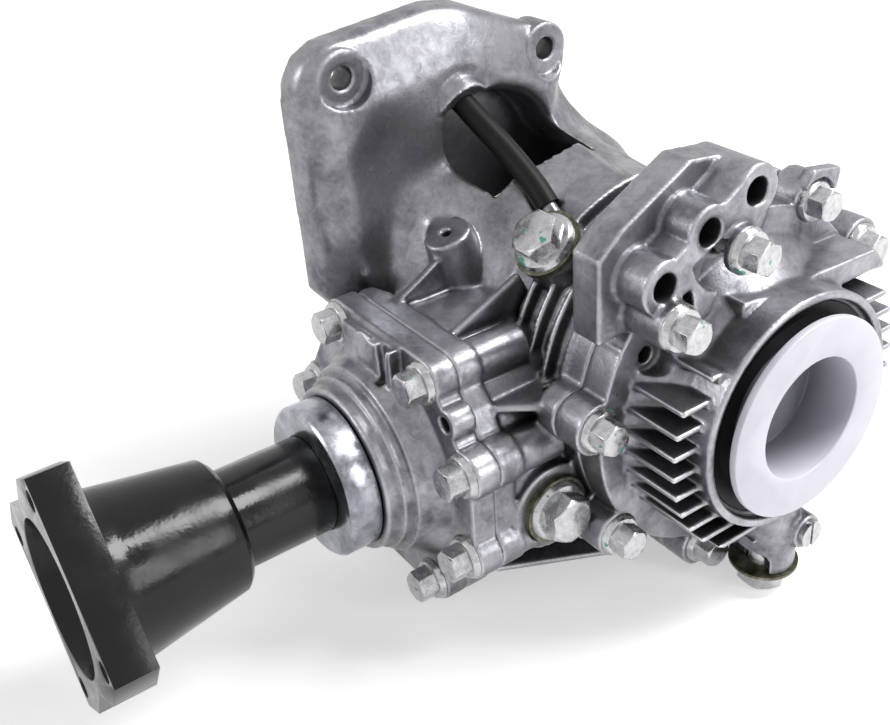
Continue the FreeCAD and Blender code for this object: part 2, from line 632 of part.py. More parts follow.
for index, (py, pz) in enumerate(sideBolts):
    caseParts.append(cylinder("case_side_lobe_" + str(index + 1), lobeRadius, 14, caseJoint - 14, py, pz,
                              alongX))
finRings = []
for index, station in enumerate((30, 43, 56, 69)):
    finRings.append(cylinder("case_fin_" + str(index + 1), finRadius, finThick, station, 0, 0, alongX))
caseParts.append(common("case_fins", fuse("case_fin_rings", finRings),
                        box("case_fin_room", 80, 240, 120, 10, -120, 16)))
fillerAngle = math.radians(42.5)
fillerWay = Vector(0, -math.sin(fillerAngle), math.cos(fillerAngle))
fillerTurn = Rotation(Vector(0, 0, 1), fillerWay)
fillerX = 35
plugSpot = size("plugSpot", 20.5, "spot face radius round an oil plug")
fillerReach = size("fillerReach", 105, "filler boss face, distance from the input axis")


# Spot on the filler axis, a way out from the input axis
def onFiller(reach):
    return fillerX, fillerWay.y * reach, fillerWay.z * reach


caseParts.append(cylinder("filler_boss", 18, 30, *onFiller(fillerReach - 30), fillerTurn))
levelBoss = size("levelBoss", 25, "level plug boss radius")
levelY = size("levelY", -107.6, "level plug axis, y")
levelZ = size("levelZ", -46.7, "level plug axis, z")
levelFace = size("levelFace", 79, "level plug boss face along x")
caseParts.append(cylinder("level_boss", levelBoss, 58, levelFace - 58, levelY, levelZ, alongX))
caseTools = [
    turned("case_chamber_hollow", [
        (-leftCupEnd, 0), (-leftCupEnd, sideCupRadius + seatGap),
        (-leftCupEnd + sideBearingWide, sideCupRadius + seatGap),
        (-leftCupEnd + sideBearingWide + 4, sideCupRadius + 8), (-20, chamberRadius - castWall - 10),
        (10, chamberRadius - castWall), (caseJoint + holeOver, chamberRadius - castWall),
        (caseJoint + holeOver, 0),
    ]),
    cylinder("case_input_bore", sealSeat, 40, -gearboxFace - holeOver, 0, 0, alongX),
    cylinder("case_tunnel_bore", spigotRadius + seatGap, coverJoint - spigotEnd + 20,
             0, -coverJoint - holeOver, -pinionDrop, alongPlusY),
    cylinder("case_head_room", 56, 80, 0, -coverJoint + 20, -pinionDrop, alongPlusY),
    plate("window_cut", [
        (-67, 124), (-65, 92), (-44, 50), (-20, 30), (60, 40), (54, 55), (22, 92), (-12, 122), (-43, 132),
    ], 60, -84, 0, 0, faceX),
    cylinder("filler_thread", plugThread, 60, *onFiller(fillerReach - 50), fillerTurn),
    cylinder("level_thread", plugThread, 30, levelFace - 28, levelY, levelZ, alongX),
    cylinder("post_hole", 3.2, 30, -22, *underPostTop(20), postTurn),
    cylinder("hose_bore", hoseRadius + 0.3, 40, *beforeHose(14), hoseTurn),
    cylinder("nipple_hole", nippleRadius + seatGap, 20, *pastHose(2), nippleTurn),
    cylinder("nipple_spot", hoseRadius + 1.5, 20, *pastHose(-17), nippleTurn),
    cylinder("level_spot", plugFlange + 2, 30, levelFace, levelY, levelZ, alongX),
    cylinder("filler_spot", plugSpot, 30, *onFiller(fillerReach), fillerTurn),
]
for index, (px, pz) in enumerate(pinionBolts):
    caseTools.append(cylinder("case_pinion_hole_" + str(index + 1), boltShank, 26, px,
                              -coverJoint - holeOver, fromPinion(pz), alongPlusY))
for index, (px, pz) in enumerate(dowelSpots):
    caseTools.append(cylinder("case_dowel_hole_" + str(index + 1), dowelRadius + dowelGap, dowelLong + 2,
                              px, -coverJoint - 6.5, fromPinion(pz), alongPlusY))
for index, (py, pz) in enumerate(sideBolts):
    caseTools.append(cylinder("case_side_hole_" + str(index + 1), boltShank, 24, caseJoint + holeOver,
                              py, pz, alongMinusX))
for index, (py, pz) in enumerate(bellHoles):
    caseTools.append(cylinder("bell_hole_" + str(index + 1), bellHole, 40, -gearboxFace - holeOver,
                              py, pz, alongX))
    caseTools.append(cylinder("bell_spot_" + str(index + 1), bellPad + 0.5, 60,
                              -gearboxFace + bellRim + 5, py, pz, alongX))
caseSolid = fuse("main_case_solid",
                 [grown("main_case_join", caseParts[0], caseParts[1:4])] + caseParts[4:])
caseSolid.Refine = False
caseCut = cut("main_case_cut", caseSolid, fuse("main_case_tools", caseTools))
caseCut.Refine = False
node(caseCut, "main_case")


# Taper roller bearing: cup, inner ring, rollers and cage, drawn from its outer end inwards
rollerGap = size("rollerGap", 0.12, "roller clearance in the races")


def bearing(prefix, outer, wide, cupRadius, shaft, rollerBig, count, pinionAxis, flip=False):
    grow = -1 if not flip else 1
    thin = 3.6
    fall = 4.0
    inner = outer + wide * grow
    node(turned(prefix + "_cup_body", [
        (outer, cupRadius), (inner, cupRadius), (inner, cupRadius - thin - fall), (outer, cupRadius - thin),
    ], pinionAxis), prefix + "_cup")
    big = rollerBig
    small = rollerBig - 0.8
    gap = rollerGap
    edge = size(prefix.replace("_", "") + "Rib", 1.6, prefix + " rib height")
    start = outer + 3 * grow
    end = inner - 3 * grow
    share = 3.0 / number(wide)
    high = cupRadius - thin - big - gap * 2 - fall * share
    low = cupRadius - thin - fall - small - gap * 2 + fall * share
    node(turned(prefix + "_inner_body", [
        (outer, shaft + seatGap), (inner, shaft + seatGap), (inner, low - 0.5),
        (end, low - 0.5), (start, high - 0.5), (start, high + edge), (outer, high + edge),
    ], pinionAxis), prefix + "_inner")
    turn = pinionTurn if pinionAxis else Rotation()
    base = Vector(0, 0, -pinionDrop.value) if pinionAxis else Vector()
    rollers = []
    first = number(start) + 1.1 * grow
    last = number(end) - 0.3 * grow
    firstMid = number(cupRadius - thin) - fall * 4.1 / number(wide) - number(gap) - number(big) / 2
    lastMid = number(cupRadius - thin - fall) + fall * share - number(gap) - number(small) / 2
    lean = Vector(last - first, lastMid - firstMid, 0)
    for step in range(count):
        spun = Rotation(Vector(1, 0, 0), 360.0 * step / count)
        start3 = base + turn.multVec(spun.multVec(Vector(first, firstMid, 0)))
        way = turn.multVec(spun.multVec(lean))
        rollers.append(Part.makeCone(number(big) / 2, number(small) / 2, lean.Length, start3, way))
    group = doc.addObject("Part::Feature", prefix + "_roller_group")
    group.Shape = Part.Compound(rollers)
    node(group, prefix + "_rollers")


# Hollow input shaft with a flange for the ring gear
ringBolt = size("ringBolt", 53, "ring gear bolt circle radius")
shaftFlange = size("shaftFlange", 66, "shaft flange outer face, along x")
shaftFlangeThick = size("shaftFlangeThick", 10, "shaft flange thickness")
ringBoltCount = 10
ringBoltSpots = [(number(ringBolt) * math.cos(2 * math.pi * step / ringBoltCount),
                  number(ringBolt) * math.sin(2 * math.pi * step / ringBoltCount)) for step in range(ringBoltCount)]
shaftTurned = turned("input_shaft_body", [
    (-gearboxFace + 6, shaftBore), (-gearboxFace + 6, shaftRadius),
    (shaftFlange - shaftFlangeThick, shaftRadius),
    (shaftFlange - shaftFlangeThick, 62), (shaftFlange, 62), (shaftFlange, shaftRadius + 8),
    (rightCupEnd - sideBearingWide, shaftRadius + 8), (rightCupEnd - sideBearingWide, shaftRadius),
    (rightCupEnd + 4, shaftRadius), (rightCupEnd + 4, shaftBore),
])
node(cut("input_shaft_cut", shaftTurned, fuse("shaft_bolt_holes", [
    cylinder("shaft_bolt_hole_" + str(index + 1), 5.2, 20, shaftFlange - shaftFlangeThick - 5, y, z, alongX)
    for index, (y, z) in enumerate(ringBoltSpots)])), "input_shaft")
ringRadius = size("ringRadius", 82, "ring gear outer radius")
ringBack = shaftFlange - shaftFlangeThick
ringTurned = turned("ring_gear_body", [
    (37, 60), (40.5, ringRadius), (ringBack, ringRadius), (ringBack, shaftRadius + seatGap),
    (44, shaftRadius + seatGap), (44, 56), (37, 57.5),
])


# Tooth gaps: a tapered groove on the pitch cone, turned by the spiral angle and repeated round the axis
def toothGaps(name, count, middle, along, across, outward, deep, rootWide, tipWide, long, axis, centre):
    start = middle - along * (long / 2)
    corners = [(-rootWide / 2, -deep), (rootWide / 2, -deep), (tipWide / 2, 3), (-tipWide / 2, 3)]
    points = [start + across * a + outward * b for a, b in corners]
    face = Part.Face(Part.makePolygon(points + points[:1]))
    groove = face.extrude(along * long)
    grooves = []
    for step in range(count):
        copy = groove.copy()
        copy.rotate(centre, axis, 360.0 * step / count)
        grooves.append(copy)
    gaps = doc.addObject("Part::Feature", name)
    gaps.Shape = Part.Compound(grooves)
    return gaps


ringTeeth = 41
pinionTeeth = 16
ringSpiral = math.radians(28)
pinionSpiral = math.radians(42)
faceLean = math.atan2(3.5, 22)
radial = Vector(math.sin(faceLean), 0, math.cos(faceLean))
faceOut = Vector(-math.cos(faceLean), 0, math.sin(faceLean))
sideways = Vector(0, 1, 0)
ringAlong = radial * math.cos(ringSpiral) + sideways * math.sin(ringSpiral)
ringAcross = sideways * math.cos(ringSpiral) - radial * math.sin(ringSpiral)
ringGaps = toothGaps("ring_tooth_gaps", ringTeeth, Vector(38.8, 0, 71), ringAlong, ringAcross, faceOut,
                     6.2, 3.0, 6.6, 44, Vector(1, 0, 0), Vector())
ringToothed = cut("ring_gear_toothed", ringTurned, ringGaps)
ringToothed.Refine = False
node(cut("ring_gear_cut", ringToothed, fuse("ring_bolt_holes", [
    cylinder("ring_bolt_hole_" + str(index + 1), 5, 12, ringBack - 11, y, z, alongX)
    for index, (y, z) in enumerate(ringBoltSpots)])), "ring_gear")

bearing("right_bearing", rightCupEnd, sideBearingWide, sideCupRadius, shaftRadius, 7.4, 18, False)
bearing("left_bearing", -leftCupEnd, sideBearingWide, sideCupRadius, shaftRadius, 7.4, 18, False, True)

# Pinion shaft with its head, bearing seats, spline and thread
pinionBlank = turned("drive_pinion_blank", [
    (54, 0), (54, 29), (84, 38), (92, 32), (headCupFront - headBearingWide - 0.5, 30),
    (headCupFront - headBearingWide - 0.5, headShaft), (headCupFront + 4, headShaft),
    (headCupFront + 6, tailShaft), (tailCupFront, tailShaft), (tailCupFront, threadRadius + 1.95),
    (hubWeb, threadRadius + 1.95), (hubWeb, threadRadius), (hubWeb + 24, threadRadius), (hubWeb + 24, 0),
], True)
pinionLean = math.atan2(9, 30)
generator = Vector(0, -math.cos(pinionLean), math.sin(pinionLean))
pinionOut = Vector(0, math.sin(pinionLean), math.cos(pinionLean))
pinionSide = Vector(1, 0, 0)
pinionAlong = generator * math.cos(pinionSpiral) + pinionSide * math.sin(pinionSpiral)
pinionAcross = pinionSide * math.cos(pinionSpiral) - generator * math.sin(pinionSpiral)
pinionGaps = toothGaps("pinion_tooth_gaps", pinionTeeth, Vector(0, -69, fromPinion(33.5)), pinionAlong,
                       pinionAcross, pinionOut, 6.4, 2.8, 6.4, 62, Vector(0, 1, 0),
                       Vector(0, 0, fromPinion(0)))
gapEnd = headCupFront - headBearingWide - 5
gapLimit = turned("pinion_gap_limit", [(40, 0), (40, 60), (gapEnd, 60), (gapEnd, 0)], True)
pinionCut = cut("drive_pinion_cut", pinionBlank, common("pinion_gap_room", pinionGaps, gapLimit))
pinionCut.Refine = False
node(pinionCut, "drive_pinion")
bearing("head_bearing", headCupFront, headBearingWide, headCupRadius, headShaft, 7.4, 16, True)
bearing("tail_bearing", tailCupFront, tailBearingWide, tailCupRadius, tailShaft, 6.4, 15, True, False)
node(turned("collapsible_spacer_body", [
    (headCupFront + 6.2, tailShaft + seatGap), (headCupFront + 6.2, tailShaft + 3),
    ((headCupFront + tailCupFront - tailBearingWide) / 2, tailShaft + 6),
    (tailCupFront - tailBearingWide, tailShaft + 3), (tailCupFront - tailBearingWide, tailShaft + seatGap),
], True), "collapsible_spacer")
nutHex = doc.addObject("Part::Prism", "pinion_nut_hex")
nutHex.Polygon = 6
bind(nutHex, "Circumradius", nutFlats * 0.57735)
bind(nutHex, "Height", nutHigh)
place(nutHex, 0, -hubWeb, -pinionDrop, alongMinusY)
nutBore = cylinder("pinion_nut_bore", threadRadius + seatGap, nutHigh + 4, 0, 1 - hubWeb, -pinionDrop,
                   alongMinusY)
node(cut("pinion_nut_cut", nutHex, nutBore), "pinion_nut")
node(turned("pinion_seal_body", [
    (neckFace, pinionSealRadius), (neckFace, pinionSealRadius - 8), (neckFace - 3, hubSealRadius + 0.4),
    (neckFace - 6, hubSealRadius + 2), (neckFace - pinionSealWide, hubSealRadius + 5),
    (neckFace - pinionSealWide, pinionSealRadius),
], True), "pinion_oil_seal")
node(turned("cover_seal_body", [
    (sealFace, coverSealRadius), (sealFace, coverSealRadius - 6), (sealFace - 3, plugHole + plugWall + 3),
    (sealFace - 5, plugHole + plugWall + 0.3), (sealFace - 8, plugHole + plugWall + 2),
    (sealFace - coverSealWide, coverSealRadius - 12), (sealFace - coverSealWide, coverSealRadius),
]), "cover_oil_seal")
node(turned("gearbox_seal_body", [
    (-gearboxFace + 4, sealSeat - seatGap), (-gearboxFace + 4, 46), (-gearboxFace + 7, shaftRadius + 0.3),
    (-gearboxFace + 10, shaftRadius + 2), (-gearboxFace + 14, 44), (-gearboxFace + 14, sealSeat - seatGap),
]), "gearbox_oil_seal")
node(turned("transport_plug_body", [
    (plugFace, plugFlangeRadius), (plugFace, plugHole), (rightCupEnd + 8, plugHole - 1),
    (rightCupEnd + 8, 0), (rightCupEnd + 6, 0), (rightCupEnd + 6, plugHole + plugWall - 1),
    (plugFace - plugFlangeThick, plugHole + plugWall), (plugFace - plugFlangeThick, plugFlangeRadius),
]), "transport_plug")


# Hexagon flange bolt standing on its seat, head towards +z
def bolt(name, flats, head, flangeRadius, shank, long):
    hexagon = doc.addObject("Part::Prism", name + "_hexagon")
    hexagon.Polygon = 6
    bind(hexagon, "Circumradius", flats * 0.57735)
    bind(hexagon, "Height", head)
    crown = fuse(name + "_crown", [
        cylinder(name + "_crown_low", flats, head - 3, 0, 0, 0),
        cone(name + "_crown_top", flats * 0.47 + 5.2, flats * 0.47, 3, 0, 0, head - 3)])
    washer = cone(name + "_washer", flangeRadius, flangeRadius - 1.6, head * 0.25)
    stem = cylinder(name + "_stem", shank, long, 0, 0, -long)
    return fuse(name, [common(name + "_head", hexagon, crown), washer, stem])


def copies(name, source, places):
    doc.recompute()
    solids = []
    for spot, turn in places:
        solid = source.Shape.copy()
        solid.Placement = Placement(Vector(*spot), turn)
        solids.append(solid)
    group = doc.addObject("Part::Feature", name + "_group")
    group.Shape = Part.Compound(solids)
    return node(group, name)


pinionBolt = bolt("pinion_cover_bolt", boltFlats, boltHead, boltFlangeRadius, boltShank - 0.1,
                  coverFlange + 20)
copies("pinion_cover_bolts", pinionBolt, [
    ((px, -number(coverJoint + coverFlange), fromPinion(pz)), alongMinusY) for px, pz in pinionBolts])
sideBolt = bolt("side_cover_bolt", boltFlats, boltHead, boltFlangeRadius, boltShank - 0.1, coverPlate + 18)
copies("side_cover_bolts", sideBolt, [
    ((number(coverTop), py, pz), alongX) for index, (py, pz) in enumerate(sideBolts)
    if index not in longBolts])
longBolt = bolt("long_cover_bolt", boltFlats, boltHead, boltFlangeRadius, boltShank - 0.1,
                coverPlate + longSeat + 18)
copies("side_cover_long_bolts", longBolt, [
    ((number(coverTop + longSeat), sideBolts[index][0], sideBolts[index][1]), alongX) for index in longBolts])
plugFlats = size("plugFlats", 24, "oil plug across flats")
plugHead = size("plugHead", 13, "oil plug head height")
plugShank = size("plugShank", 8.9, "oil plug shank radius")
washerThick = size("washerThick", 1.7, "sealing washer thickness")
plugBolt = bolt("oil_plug", plugFlats, plugHead, plugFlange, plugShank, 16)
copies("filler_plug", plugBolt, [(onFiller(number(fillerReach + washerThick * 2)), fillerTurn)])
levelBase = number(levelFace + washerThick * 2)
copies("level_plug", plugBolt, [((levelBase, number(levelY), number(levelZ)), alongX)])
down = Rotation(Vector(0, 0, 1), Vector(0, 0, -1))
drainBase = -number(drainFace + washerThick)
copies("drain_plug", plugBolt, [((drainX, 0, drainBase), down)])


# Sealing washers, two under each upper plug and one under the drain plug
def washer(name, radius, hole, thick):
    disc = cylinder(name + "_disc", radius, thick)
    return cut(name, disc, cylinder(name + "_hole", hole, thick + 2, 0, 0, -1))


plugWasher = washer("plug_washer", plugFlange + 1.5, plugShank + 0.2, washerThick)
copies("filler_washers", plugWasher, [
    (onFiller(number(fillerReach) + lift), fillerTurn) for lift in (0, number(washerThick))])
copies("level_washers", plugWasher, [
    ((number(levelFace) + lift, number(levelY), number(levelZ)), alongX)
    for lift in (0, number(washerThick))])
copies("drain_washer", plugWasher, [((drainX, 0, drainBase), Rotation())])

# Slotted screw plug beside the drain
screwHead = cylinder("screw_plug_head", 7.6, 3, 0, 0, 0)
screwStem = cylinder("screw_plug_stem", 6, 9, 0, 0, -9)
screwSlot = box("screw_plug_slot", 20, 1.8, 2, -10, -0.9, 1.6)
screwPlug = cut("screw_plug_cut", fuse("screw_plug_solid", [screwHead, screwStem]), screwSlot)
copies("slotted_screw_plug", screwPlug, [((number(screwFace), screwY, screwZ), alongX)])

# Ring gear bolts seated on the shaft flange
gearBolt = bolt("ring_gear_bolt", 15, 7, 8.6, 4.9, 20)
copies("ring_gear_bolts", gearBolt, [((number(shaftFlange), y, z), alongX) for y, z in ringBoltSpots])


# Breather hose from the bell boss down to its nipple on the chamber, straight runs joined by arcs
def roundedPath(points):
    edges = []
    last = points[0]
    for index in range(1, len(points) - 1):
        before, here, after = points[index - 1], points[index], points[index + 1]
        inward = (before - here)
        outward = (after - here)
        turnAngle = math.pi - inward.getAngle(outward)
        tangent = 0.45 * min(inward.Length, outward.Length)
        radius = tangent / math.tan(turnAngle / 2)
        first = here + inward.normalize() * tangent
        final = here + outward.normalize() * tangent
        bisector = (first + final) * 0.5 - here
        centre = here + bisector.normalize() * math.hypot(radius, tangent)
        middle = centre + (here - centre).normalize() * radius
        edges.append(Part.LineSegment(last, first).toShape())
        edges.append(Part.Arc(first, middle, final).toShape())
        print("hose bend radius", round(radius, 1))
        last = final
    edges.append(Part.LineSegment(last, points[-1]).toShape())
    return Part.Wire(edges)


hoseWire = roundedPath(hosePoints)
hoseDisc = Part.Wire([Part.Circle(hoseStart, hoseFirst, number(hoseRadius)).toShape()])
hoseBody = doc.addObject("Part::Feature", "breather_hose_tube")
hoseBody.Shape = hoseWire.makePipeShell([hoseDisc], True, True)
print("hose length", round(hoseWire.Length, 1), "volume ratio",
      round(hoseBody.Shape.Volume / (math.pi * number(hoseRadius) ** 2 * hoseWire.Length), 4))
node(hoseBody, "breather_hose")
node(cylinder("breather_nipple_stub", nippleRadius, 14, *hoseEnd, nippleTurn), "breather_nipple")

# Dowel pins and seal ring of the pinion cover joint
dowel = cylinder("dowel", dowelRadius, dowelLong)
copies("pinion_cover_dowels", dowel, [
    ((px, -number(coverJoint + dowelLong / 2), fromPinion(pz)), alongPlusY) for px, pz in dowelSpots])
node(turned("pinion_cover_ring_body", [
    (grooveLow, spigotRadius - 2), (grooveLow, spigotRadius), (grooveHigh, spigotRadius),
    (grooveHigh, spigotRadius - 2),
], True), "pinion_cover_o_ring")
doc.recompute()

# Every object has to be sound before anything is written
for item in doc.Objects:
    if "Invalid" in item.State or "Error" in item.State:
        raise RuntimeError(item.Name + " failed: " + str(item.State))
os.makedirs("parts", exist_ok=True)
for name, item in nodes:
    shape = item.Shape
    if shape.isNull() or not shape.isValid():
        raise RuntimeError(name + " has no sound shape")
    print(name, len(shape.Solids), "solids", round(shape.Volume / 1000, 1), "cm3")
    shape.exportStep("parts/" + name + ".step")
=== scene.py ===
import bpy
import bmesh
import math
from mathutils import Matrix, Vector


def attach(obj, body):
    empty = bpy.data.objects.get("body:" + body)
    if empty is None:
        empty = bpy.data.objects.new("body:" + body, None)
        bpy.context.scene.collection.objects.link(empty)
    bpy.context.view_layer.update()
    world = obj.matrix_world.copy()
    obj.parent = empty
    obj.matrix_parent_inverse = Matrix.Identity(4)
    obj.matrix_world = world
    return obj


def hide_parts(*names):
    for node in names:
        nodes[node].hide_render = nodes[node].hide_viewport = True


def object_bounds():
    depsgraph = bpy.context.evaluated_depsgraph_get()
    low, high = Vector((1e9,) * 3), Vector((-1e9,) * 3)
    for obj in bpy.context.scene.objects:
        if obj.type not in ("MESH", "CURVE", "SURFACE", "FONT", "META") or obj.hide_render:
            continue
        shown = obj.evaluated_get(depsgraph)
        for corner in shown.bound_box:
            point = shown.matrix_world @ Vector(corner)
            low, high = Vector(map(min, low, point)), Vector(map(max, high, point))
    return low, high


# transfer case on a pale studio floor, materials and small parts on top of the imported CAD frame
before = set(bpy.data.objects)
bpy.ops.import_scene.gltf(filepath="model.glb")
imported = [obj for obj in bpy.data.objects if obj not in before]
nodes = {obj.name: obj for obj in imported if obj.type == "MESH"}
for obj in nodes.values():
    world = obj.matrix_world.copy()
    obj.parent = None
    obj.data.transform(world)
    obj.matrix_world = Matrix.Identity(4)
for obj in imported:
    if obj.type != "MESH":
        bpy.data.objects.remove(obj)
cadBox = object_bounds()
scene = bpy.context.scene
print("frame loaded,", len(nodes), "nodes")

# camera: seen from the cover side, a little above, flange nearest; pixels are those of the picture
cameraLook = {
    "place": (0.459167, -0.420658, 0.352635),
    "right": (0.57566172, 0.81535418, -0.0617345),
    "up": (-0.36042831, 0.32079002, 0.87589109),
    "ahead": (-0.73396527, 0.48196611, -0.47854327),
    "focalPixels": 1184.513,
    "centrePixels": (436.819, 292.334),
    "picturePixels": (890, 725),
    "sensorMm": 36.0,
    "clip": (0.01, 20),
}


def makeCamera(look):
    lens = bpy.data.cameras.new("studioCamera")
    holder = bpy.data.objects.new("studioCamera", lens)
    scene.collection.objects.link(holder)
    right, up, ahead = (Vector(look[key]).normalized() for key in ("right", "up", "ahead"))
    turn = Matrix((right, up, -ahead)).transposed().to_4x4()
    holder.matrix_world = Matrix.Translation(look["place"]) @ turn
    wide, high = look["picturePixels"]
    axisAcross, axisDown = look["centrePixels"]
    lens.sensor_fit = "HORIZONTAL"
    lens.sensor_width = look["sensorMm"]
    lens.lens = look["focalPixels"] / wide * look["sensorMm"]
    lens.shift_x = (wide / 2 - axisAcross) / wide  # picture centre against the lens axis
    lens.shift_y = (axisDown - high / 2) / wide
    lens.clip_start, lens.clip_end = look["clip"]
    scene.camera = holder


makeCamera(cameraLook)
print("camera placed")


# materials
def linearColour(code):
    channels = [int(code[place:place + 2], 16) / 255 for place in (1, 3, 5)]
    return (*(c / 12.92 if c <= 0.04045 else ((c + 0.055) / 1.055) ** 2.4 for c in channels), 1.0)


def addNode(tree, kind, settings=None, inputs=None, links=None):
    item = tree.nodes.new(kind)
    for key, value in (settings or {}).items():
        setattr(item, key, value)
    for key, value in (inputs or {}).items():
        item.inputs[key].default_value = value
    for key, source in (links or {}).items():
        tree.links.new(source, item.inputs[key])
    return item


def startMaterial(name, colour, metallic, roughness):
    material = bpy.data.materials.new(name)
    material.use_nodes = True
    tree = material.node_tree
    shader = tree.nodes["Principled BSDF"]
    shader.inputs["Base Color"].default_value = linearColour(colour)
    shader.inputs["Metallic"].default_value = metallic
    shader.inputs["Roughness"].default_value = roughness
    place = addNode(tree, "ShaderNodeTexCoord").outputs["Object"]
    return material, tree, shader, place


def ramp(tree, source, stops):
    item = addNode(tree, "ShaderNodeValToRGB", links={"Fac": source})
    line = item.color_ramp
    line.elements[0].position, line.elements[0].color = stops[0][0], linearColour(stops[0][1])
    line.elements[1].position, line.elements[1].color = stops[-1][0], linearColour(stops[-1][1])
    for where, colour in stops[1:-1]:
        line.elements.new(where).color = linearColour(colour)
    return item.outputs["Color"]


def noise(tree, place, sizeMm, detail, **more):
    inputs = {"Scale": 1000 / sizeMm, "Detail": detail, **more}
    return addNode(tree, "ShaderNodeTexNoise", inputs=inputs, links={"Vector": place}).outputs["Fac"]


def mapped(tree, source, across, to):
    # source between the ends of across, turned into a value between the ends of to
    inputs = {"From Min": across[0], "From Max": across[1], "To Min": to[0], "To Max": to[1]}
    return addNode(tree, "ShaderNodeMapRange", inputs=inputs, links={"Value": source}).outputs["Result"]


def combined(tree, operation, first, second):
    item = addNode(tree, "ShaderNodeMath", {"operation": operation}, links={0: first, 1: second})
    return item.outputs["Value"]


def tinted(tree, share, under, colour):
    inputs = {7: linearColour(colour)}
    item = addNode(tree, "ShaderNodeMix", {"data_type": "RGBA"}, inputs, {0: share, 6: under})
    return item.outputs[2]


def bumped(tree, shader, layers):
    # layers are (height source, strength, depth in metres), one bump on top of the other
    under = None
    for source, strength, depth in layers:
        links = {"Height": source}
        if under is not None:
            links["Normal"] = under
        bump = addNode(tree, "ShaderNodeBump", inputs={"Strength": strength, "Distance": depth}, links=links)
        under = bump.outputs["Normal"]
    tree.links.new(under, shader.inputs["Normal"])


# aluminium die casting, shot blasted: grey satin metal, with painted shade darkening its hollows and recesses,
# and edges painted brighter, partly as rubbed wear and partly as painted highlight
castLook = {
    # the darkest colour is painted shade for hollows and recesses; the brightest is painted on sharp edges,
    # partly rubbed wear and partly painted highlight
    "paintedShade": "#2C2C30", "dark": "#606065", "middle": "#818186", "light": "#A0A0A5", "edge": "#D4D4D8",
    "tones": (0.5, 0.7, 0.95), "flowShare": 0.45, "cloudMm": 24, "flowMm": 7, "gritMm": 1.1,
    "metallic": 0.9, "roughness": 0.34, "roughTones": (0.5, 0.95), "rougher": 0.12, "smoother": 0.08,
    "hollowCurve": (0.42, 0.495), "ridgeCurve": (0.515, 0.58), "ridgeShare": 0.85,
    "recessMm": 26, "recessOpen": (0.12, 0.62), "recessShare": 0.9,
    "flowBump": (0.3, 0.0006), "gritBump": (0.4, 0.00022),
}


def castAluminium(name, look):
    material, tree, shader, place = startMaterial(name, look["middle"], look["metallic"], look["roughness"])
    cloud = noise(tree, place, look["cloudMm"], 6.0, Roughness=0.62)
    flow = noise(tree, place, look["flowMm"], 4.0, Roughness=0.7, Distortion=1.2)
    tone = addNode(tree, "ShaderNodeMath", {"operation": "MULTIPLY_ADD"}, {1: look["flowShare"]},
                   {0: flow, 2: cloud}).outputs["Value"]
    skin = ramp(tree, tone, list(zip(look["tones"], (look["dark"], look["middle"], look["light"]))))
    # painted shade: hollows found by pointiness and recesses found by ambient occlusion are darkened towards
    # the shade colour
    curve = addNode(tree, "ShaderNodeNewGeometry").outputs["Pointiness"]
    hollowShade = mapped(tree, curve, look["hollowCurve"], (1.0, 0.0))
    edgeWearAndHighlight = mapped(tree, curve, look["ridgeCurve"], (0.0, look["ridgeShare"]))
    openness = addNode(tree, "ShaderNodeAmbientOcclusion", {"samples": 6, "only_local": True},
                       {"Distance": look["recessMm"] / 1000}).outputs["AO"]
    recessShade = mapped(tree, openness, look["recessOpen"], (look["recessShare"], 0.0))
    shadedSkin = tinted(tree, combined(tree, "MAXIMUM", hollowShade, recessShade), skin, look["paintedShade"])
    # painted highlight and rubbed wear: sharp edges found by pointiness are brightened towards the edge colour
    tree.links.new(tinted(tree, edgeWearAndHighlight, shadedSkin, look["edge"]), shader.inputs["Base Color"])
    grit = noise(tree, place, look["gritMm"], 3.0, Roughness=0.6)
    roughEnds = (look["roughness"] + look["rougher"], look["roughness"] - look["smoother"])
    tree.links.new(mapped(tree, tone, look["roughTones"], roughEnds), shader.inputs["Roughness"])
    bumped(tree, shader, [(flow, *look["flowBump"]), (grit, *look["gritBump"])])
    return material


# zinc plate on steel, bright passivated: cool silver with soft patches and light handling marks
zincLook = {
    "light": "#DADCDD", "middle": "#C3C6C8", "dark": "#9DA1A3", "metallic": 0.95,
    "patchMm": 7, "patchMiddle": 0.52, "contrast": 0.16,
    "roughness": 0.3, "roughPatch": (0.3, 0.7), "smoother": 0.07, "rougher": 0.14,
    "gritMm": 0.7, "gritBump": (0.12, 0.0001),
}
# inspection paint: a few thin brush dabs left on the bolt heads
dabLook = {"colour": "#1E9C86", "sizeMm": 8.5, "edge": (0.66, 0.70), "cover": 0.85}


def paintDabs(tree, shader, place, look):
    spread = noise(tree, place, look["sizeMm"], 2.0, Roughness=0.6)
    mask = mapped(tree, spread, look["edge"], (0.0, look["cover"]))
    below = shader.inputs["Base Color"].links[0].from_socket
    tree.links.new(tinted(tree, mask, below, look["colour"]), shader.inputs["Base Color"])
    bare = mapped(tree, mask, (0.0, 1.0), (shader.inputs["Metallic"].default_value, 0.0))
    tree.links.new(bare, shader.inputs["Metallic"])


def zincPlate(name, look, dabs=None):
    material, tree, shader, place = startMaterial(name, look["middle"], look["metallic"], look["roughness"])
    patch = noise(tree, place, look["patchMm"], 4.0, Roughness=0.65)
    middle, contrast = look["patchMiddle"], look["contrast"]
    skin = ramp(tree, patch, [
        (middle - contrast, look["dark"]), (middle, look["middle"]), (middle + contrast, look["light"])])
    tree.links.new(skin, shader.inputs["Base Color"])
    roughEnds = (look["roughness"] - look["smoother"], look["roughness"] + look["rougher"])
    tree.links.new(mapped(tree, patch, look["roughPatch"], roughEnds), shader.inputs["Roughness"])
    bumped(tree, shader, [(noise(tree, place, look["gritMm"], 2.0), *look["gritBump"])])
    if dabs:
        paintDabs(tree, shader, place, dabs)
    return material


